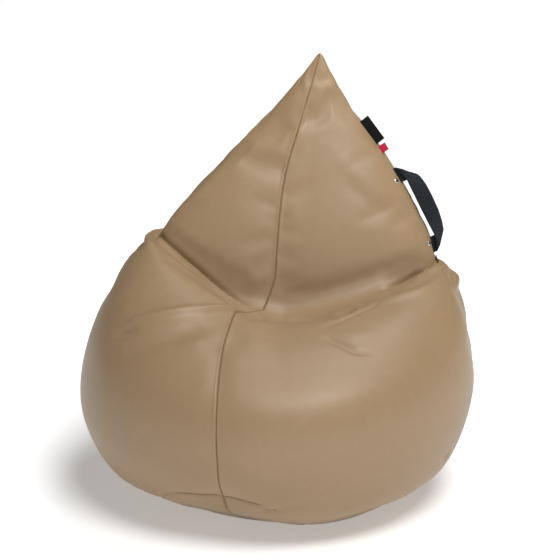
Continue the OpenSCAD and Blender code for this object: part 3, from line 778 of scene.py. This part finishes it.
HANDLE_A, HANDLE_B = on_right(HANDLE_UPPER), on_right(HANDLE_LOWER)
HANDLE_SPAN = float(np.linalg.norm(HANDLE_B - HANDLE_A))
HANDLE_ALONG = (HANDLE_B - HANDLE_A) / HANDLE_SPAN
handle_middle = (HANDLE_UPPER + HANDLE_LOWER) / 2
handle_normal = outward(np.array([handle_middle]), np.array([seam("right", handle_middle)]))[0]
HANDLE_OUT = unit(handle_normal - (handle_normal @ HANDLE_ALONG) * HANDLE_ALONG)
HANDLE_FRONT = np.cross(HANDLE_ALONG, HANDLE_OUT)
ROOT_IN = 8 * MM                     # how far the webbing reaches into the seam
LEG = 35 * MM                        # from the seam to the middle of each diagonal fold
FOLD_R = 2.1 * MM                    # radius of each fold


def folded_end(w, s):
    """Handle frame position (along, outward, front) of the flat webbing's point w across, s along.

    It comes out of the seam, and turns along it at a fold whose line runs at 45 degrees.
    """
    past = (s - LEG - ROOT_IN - w) / math.sqrt(2)
    bend = FOLD_R * math.pi / 2
    angle = np.clip(past / FOLD_R + math.pi / 2, 0, math.pi)
    reach = np.where(past < -bend, past, np.where(past > bend, -past, FOLD_R * np.sin(angle) - bend))
    line_w, line_s = w + past / math.sqrt(2), s - past / math.sqrt(2)
    return (line_w - reach / math.sqrt(2), line_s - ROOT_IN + reach / math.sqrt(2),
            FOLD_R * (1 - np.cos(angle)))


def ribbon_place(w, s):
    """The same for the whole handle, which has such a fold at both ends."""
    total = HANDLE_SPAN + 2 * (LEG + ROOT_IN)
    upper, lower = folded_end(w, s), folded_end(w, total - s)
    early = s < total / 2
    return (np.where(early, upper[0], HANDLE_SPAN - lower[0]), np.where(early, upper[1], lower[1]),
            np.where(early, upper[2], lower[2]))


# Outer edge of the handle as it hangs: place along the handle and distance out from the seam, mm
WEB_OUTLINE = ((-18, 6), (-6, 18), (8, 31), (24, 41), (44, 48), (70, 51), (106, 48), (136, 40), (156, 32),
               (174, 22), (190, 9))


def ribbon_relax(x, y, z):
    """The webbing's ease: it curls back past both folds and twists toward its lower end."""
    inner = LEG - WEB_HALF
    from_end = np.minimum(x, HANDLE_SPAN - x)
    flat = np.clip(inner + from_end + WEB_HALF, inner + MM, inner + 2 * WEB_HALF)
    along, out = MM * np.array(WEB_OUTLINE).T
    ratio = np.clip((np.interp(x, along, out) - inner) / (flat - inner), 0.45, 1)
    lean = np.clip((WEB_HALF - from_end) / (2 * WEB_HALF), 0, 1) * np.clip(y / inner, 0, 1)
    y = y - (inner - 6 * MM) * lean
    arm = np.maximum(y - inner, 0)
    bow = np.sin(np.pi * np.clip(x / HANDLE_SPAN, 0, 1))
    return x, y - arm * (1 - ratio), z - 0.8 * arm * np.sqrt(1 - ratio ** 2) + 3 * MM * bow


def make_webbing():
    total = HANDLE_SPAN + 2 * (LEG + ROOT_IN)
    across = np.linspace(-1, 1, 15)
    first, second = LEG + ROOT_IN, HANDLE_SPAN + LEG + ROOT_IN
    s = np.arange(0, total + 0.1 * MM, 2.0 * MM)
    turns = [6 * MM, 30 * MM, first + 12 * MM, second - 12 * MM, total - 30 * MM, total - 6 * MM]
    shear = np.interp(s, turns, [0, 1, 1, -1, -1, 0])
    flat_w = np.tile(across * WEB_HALF, (len(s), 1))
    flat_s = s[:, None] + shear[:, None] * flat_w
    place_at = np.stack(ribbon_relax(*ribbon_place(flat_w, flat_s)), -1)
    axes = np.stack([HANDLE_ALONG, HANDLE_OUT, HANDLE_FRONT])
    grid = HANDLE_A + place_at @ axes
    normal = grid_normals(grid)
    edge = np.sqrt(np.maximum(1 - abs(across) ** 8, 0.12))[None, :, None]
    ribs = 0.12 * MM * np.cos(across * math.pi * 9)[None, :, None]
    front = grid + normal * (WEB_THICK / 2 * edge + ribs)
    back = grid - normal * (WEB_THICK / 2 * edge + ribs)
    rows, cols = grid.shape[:2]
    points = np.concatenate([front.reshape(-1, 3), back.reshape(-1, 3)])
    faces = shell_faces(rows, cols)
    piece = add_mesh("webbing_handle", points, faces, WEBBING)
    add_uv(piece, np.tile(np.stack([flat_w, flat_s], -1).reshape(-1, 2), (2, 1)))
    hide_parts("handle_strap", "handle_end_upper", "handle_end_lower")
    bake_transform(piece)


def add_uv(piece, flat):
    """A flat map in metres, so that a weave follows a ribbon."""
    layer = piece.data.uv_layers.new(name="flat")
    loops = np.zeros(len(piece.data.loops), int)
    piece.data.loops.foreach_get("vertex_index", loops)
    layer.data.foreach_set("uv", np.asarray(flat, float)[loops].reshape(-1))


make_webbing()


def frame_at(normal, along):
    along = unit(along - (along @ normal) * normal)
    return np.stack([along, normal, np.cross(along, normal)])


def rivet_frame(v):
    """Where the rivet of the handle's end at v goes, and its axes: along, out, side."""
    rise = np.linalg.norm(on_right(v + 0.2) - on_right(v - 0.2)) / 0.4
    v = v + (-1 if v > HANDLE_LOWER else 1) * RIVET_TO_MIDDLE / rise
    phi = seam("right", v)
    phi -= RIVET_IN / np.linalg.norm(bag(v, phi) - bag(v, phi - 1))
    normal = outward(np.array([v]), np.array([phi]), bag)[0]
    return bag(v, phi), frame_at(normal, HANDLE_ALONG)


def lathe(profile, steps, origin, axes):
    """A turned solid: profile of (radius, height) from the axis round to the axis."""
    profile = np.array(profile, float)
    turn = np.linspace(0, 2 * math.pi, steps, endpoint=False)
    r, h = profile[1:-1, 0], profile[1:-1, 1]
    local = np.stack([r[:, None] * np.cos(turn), h[:, None] + 0 * turn, r[:, None] * np.sin(turn)], -1)
    ends = np.array([[0, profile[0, 1], 0], [0, profile[-1, 1], 0]])
    points = origin + np.concatenate([local.reshape(-1, 3), ends]) @ axes
    rows = len(r)
    faces = grid_faces(rows, steps, closed=True).tolist()
    first, last = rows * steps, rows * steps + 1
    faces += [(j, (j + 1) % steps, first) for j in range(steps)]
    faces += [((rows - 1) * steps + (j + 1) % steps, (rows - 1) * steps + j, last) for j in range(steps)]
    return points, faces


def make_rivets():
    """Domed caps with a rolled rim, and the shanks behind them."""
    dome = [(5.5 * math.cos(a), 0.9 + 2.0 * math.sin(a)) for a in np.radians(np.arange(0, 86, 8))]
    profile = [(0, -6), (1.4, -6), (1.4, 0.1), (4.9, 0.1), (5.35, 0.25), (5.62, 0.6)] + dome + [(0, 2.9)]
    parts = []
    for v in (HANDLE_UPPER, HANDLE_LOWER):
        origin, axes = rivet_frame(v)
        parts.append(lathe(MM * np.array(profile), 40, origin, axes))
    piece = add_mesh("rivet_caps", *joined(parts), RIVET_METAL)
    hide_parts("handle_rivet_caps")
    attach(piece, "root")


make_rivets()


def make_tag(name, node, v, length, width, curl, material):
    """A woven label folded double, its open edges sewn into the seam, with a stitched border."""
    at = seam("right", v)
    normal = outward(np.array([v]), np.array([at]))[0]
    run = unit(bag(v - 0.2, seam("right", v - 0.2)) - bag(v + 0.2, seam("right", v + 0.2)))
    side = unit(np.cross(run, normal))
    axes = np.stack([run, np.cross(side, run), side])
    x = np.linspace(-0.5, 0.5, 41) * length
    rounding = width - MM * np.array([0.45, 0.15, 0.02])
    y = np.concatenate([np.linspace(-4.5 * MM, width - 0.8 * MM, 22), rounding])
    flat_x, flat_y = np.meshgrid(x, y, indexing="ij")
    reach = np.clip(flat_y / width, 0, 1)
    bend = curl * reach ** 2 + 0.5 * MM * np.sin(flat_x / length * 5) * reach
    fall = np.clip((width - flat_y) / (0.8 * MM), 0, 1)
    thick = 0.58 * MM * np.sqrt(1 - (1 - fall) ** 2 * 0.98)
    edge_gap = np.minimum(np.minimum(flat_x + length / 2, length / 2 - flat_x), width - flat_y)
    border = 0.12 * MM * np.exp(-((edge_gap - 1.8 * MM) / (0.5 * MM)) ** 2)
    corner = np.minimum(flat_x + length / 2, length / 2 - flat_x)
    thick = thick * np.clip(0.5 + corner / (0.8 * MM), 0.5, 1)
    place_at = np.stack([flat_x, flat_y, bend], -1)
    grid = bag(v, at) + place_at @ axes
    lift = (thick - border)[..., None] * axes[2]
    rows, cols = grid.shape[:2]
    points = np.concatenate([(grid + lift).reshape(-1, 3), (grid - lift).reshape(-1, 3)])
    piece = add_mesh(name, points, shell_faces(rows, cols), material)
    add_uv(piece, np.tile(np.stack([flat_x, flat_y], -1).reshape(-1, 2), (2, 1)))
    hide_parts(node)
    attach(piece, "root")


make_tag("plain_side_tag", "side_tag", SIDE_TAG_AT, 62 * MM, 24 * MM, 1.5 * MM, BLACK_TAG)
make_tag("plain_size_tag", "size_tag", SIZE_TAG_AT, 18 * MM, 18 * MM, 0.8 * MM, RED_TAG)


# ------------------------------------------------------------------ nodes kept as packed, and the inside
def paint(material, *nodes):
    for node in nodes:
        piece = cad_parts[node]
        piece.data.materials.clear()
        piece.data.materials.append(material)
        soften = piece.modifiers.new("soft_edges", "BEVEL")
        soften.width = 0.15 * MM
        soften.segments = 2
        soften.limit_method = "ANGLE"


paint(LEATHERETTE, "handle_backing_patches")
paint(RIVET_METAL, "handle_rivet_backs")
paint(WHITE_LABEL, "care_label")
paint(ZIP_TAPE, "base_zip_tape_left", "base_zip_tape_right")
paint(ZIP_METAL, "base_zip_stops", "base_zip_slider", "liner_zip_slider")
paint(LINER_TAPE, "liner_zip_tape_left", "liner_zip_tape_right")


def cover_tree():
    """The four gores' outer faces, to find how far inside a point is."""
    v, phi = np.arange(0, TOP, 0.05), np.arange(-180, 180, 1.5)
    grid = cover(v[:, None], phi[None])
    rows, cols = grid.shape[:2]
    faces = grid_faces(rows, cols, closed=True)[:, ::-1]
    return BVHTree.FromPolygons(grid.reshape(-1, 3).tolist(), faces.tolist())


COVER_TREE = cover_tree()


def keep_inside(points, room):
    """Each point at least so far inside the cover."""
    for i, point in enumerate(points):
        for _ in range(3):
            near, normal, _face, _gap = COVER_TREE.find_nearest(Vector(point))
            if (Vector(point) - near).dot(normal) <= -room:
                break
            point = near - normal * room
        points[i] = point
    return points


def inset_piece(name, depth, material, nodes):
    """A smooth closed skin inside the cover, for what the cover hides."""
    v = np.concatenate([[0.35], np.arange(1, LAST - 0.2, 0.125)])[:, None]
    phi = np.arange(-180, 180, 3.0)[None]
    points, normals = cover(v, phi), outward(v, phi + 0 * v)
    radial = unit((points - points.mean(1, keepdims=True)) * (1, 1, 0))
    grid = points - depth * radial - depth * normals[..., 2:] * UP
    grid[..., 2] = np.maximum(grid[..., 2], depth)
    rows, cols = grid.shape[:2]
    grid = keep_inside(grid.reshape(-1, 3), 0.8 * depth).reshape(rows, cols, 3)
    points = np.concatenate([grid.reshape(-1, 3), [grid[0].mean(0), grid[-1].mean(0)]])
    faces = grid_faces(rows, cols, closed=True).tolist()
    base, top = rows * cols, rows * cols + 1
    faces += [(j, (j + 1) % cols, base) for j in range(cols)]
    faces += [(top - 1 - cols + (j + 1) % cols, top - 1 - cols + j, top) for j in range(cols)]
    piece = add_mesh(name, points, faces, material)
    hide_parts(*nodes)
    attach(piece, "root")
    return piece


inset_piece("bead_filling", 18 * MM, BEADS, ["bead_fill"])
inset_piece("liner", 14 * MM, LINER_CLOTH, ["liner_left", "liner_right"])


# ------------------------------------------------------------------ floor, lights and camera
def make_stage():
    """A white floor that gives off painted light, more strongly away from the bag; near the bag it is darker
    by painted shade as well as by the bag's real shadow, and its light also falls on the bag's lower sides.
    """
    material, tree, shader = new_material("studio_floor")
    where = place(tree)
    # Painted light: the floor's emission rises with the distance from the middle of the floor, under the
    # bag.
    away = add_node(tree, "ShaderNodeVectorMath", {0: where}, operation="LENGTH").outputs["Value"]
    limits = {"Value": away, "From Min": 0.42, "From Max": 1.5, "To Min": 0.34, "To Max": 0.95}
    painted_floor_light = add_node(tree, "ShaderNodeMapRange", limits, interpolation_type="SMOOTHSTEP")
    tree.links.new(painted_floor_light.outputs["Result"], shader.inputs["Emission Strength"])
    tree.links.new(ramp(tree, noise(tree, where, 2, 2), (0.90, 0.90, 0.90), (0.92, 0.92, 0.92)),
                   shader.inputs["Base Color"])
    shader.inputs["Roughness"].default_value = 0.9
    shader.inputs["Specular IOR Level"].default_value = 0.0
    shader.inputs["Emission Color"].default_value = (1, 1, 1, 1)
    side = 30.0
    corners = [(-side, -side, 0), (side, -side, 0), (side, side, 0), (-side, side, 0)]
    floor = add_mesh("studio_floor", corners, [(0, 1, 2, 3)], material, smooth=False)


def add_light(name, place_at, aim, size, power, colour=(1, 1, 1)):
    data = bpy.data.lights.new(name, "AREA")
    data.shape = "DISK"
    data.size = size
    data.energy = power
    data.color = colour
    light = bpy.data.objects.new(name, data)
    light.location = place_at
    light.rotation_euler = (Vector(aim) - Vector(place_at)).to_track_quat("-Z", "Y").to_euler()
    bpy.context.scene.collection.objects.link(light)


def make_lights():
    world = bpy.data.worlds.new("studio")
    bpy.context.scene.world = world
    world.use_nodes = True
    background = world.node_tree.nodes["Background"]
    background.inputs["Color"].default_value = (1, 1, 1, 1)
    background.inputs["Strength"].default_value = 0.05
    add_light("key", (1.1, -2.5, 4.5), (0, 0, 0.4), 2.2, 205)
    add_light("overhead", (0.7, 0.35, 3.3), (0.1, -0.1, 0.4), 1.5, 34)
    scene = bpy.context.scene
    scene.view_settings.view_transform = "Standard"
    scene.view_settings.look = "None"


CAMERA_UP = math.radians(15)
CAMERA_FAR = 3.3
CAMERA_AIM = (0.0044, 0, 0.4725)


def make_camera():
    data = bpy.data.cameras.new("camera")
    data.sensor_width = 36
    data.lens = 97.3
    camera = bpy.data.objects.new("camera", data)
    toward = Vector((0, math.cos(CAMERA_UP), -math.sin(CAMERA_UP)))
    camera.location = Vector(CAMERA_AIM) - CAMERA_FAR * toward
    camera.rotation_euler = toward.to_track_quat("-Z", "Y").to_euler()
    bpy.context.scene.collection.objects.link(camera)
    bpy.context.scene.camera = camera


make_stage()
make_lights()
make_camera()
